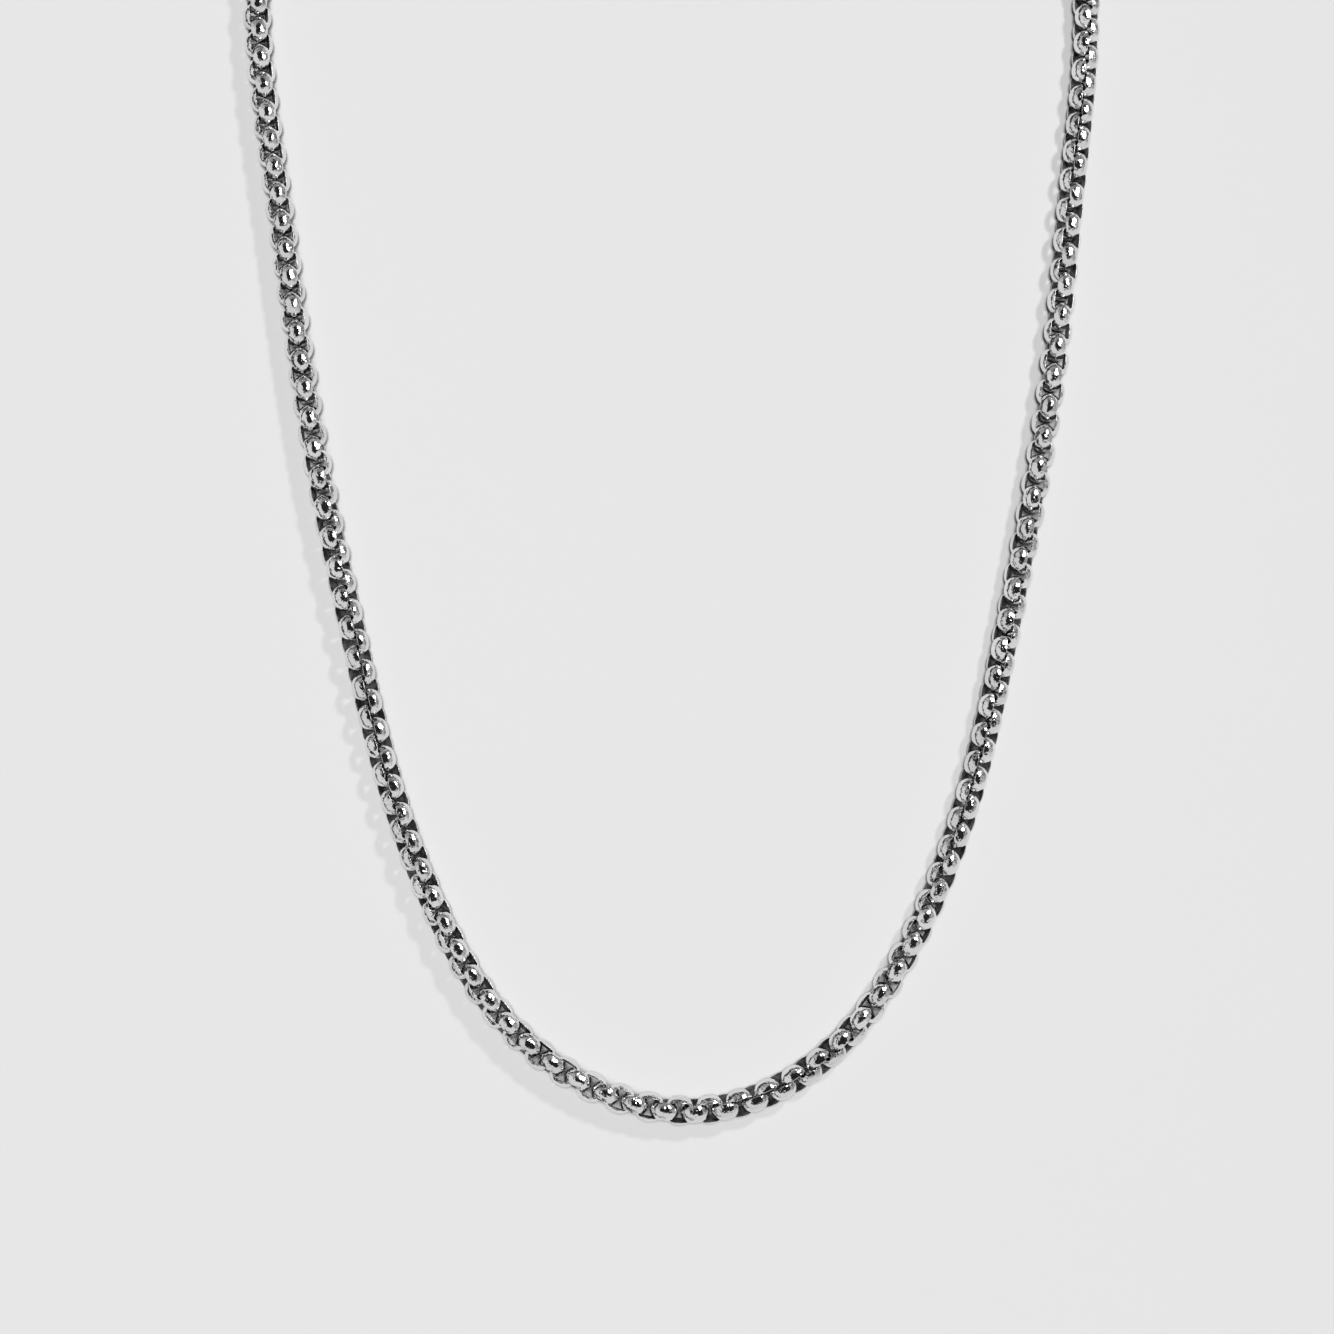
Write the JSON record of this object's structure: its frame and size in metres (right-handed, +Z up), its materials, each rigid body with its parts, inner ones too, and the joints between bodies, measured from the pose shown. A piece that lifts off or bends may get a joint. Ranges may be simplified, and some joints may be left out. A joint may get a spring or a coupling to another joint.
{
  "type": "box chain necklace",
  "caption": "Necklace of round box links with square holes, a closed loop lying flat, joined at the back by a plain barrel clasp.",
  "frame": {"origin": "middle of the loop on the surface that it lies on", "axes": "+Z up from the surface, +Y towards the clasp, X across the loop with the picture's right at +X"},
  "size_m": [0.1209, 0.1962, 0.0038],
  "materials": {
    "steel": "polished stainless steel"
  },
  "bodies": {
    "root": {"left_strand": "steel", "right_strand": "steel", "left_end_ring": "steel", "right_end_ring": "steel", "clasp": "steel"}
  },
  "joints": []
}
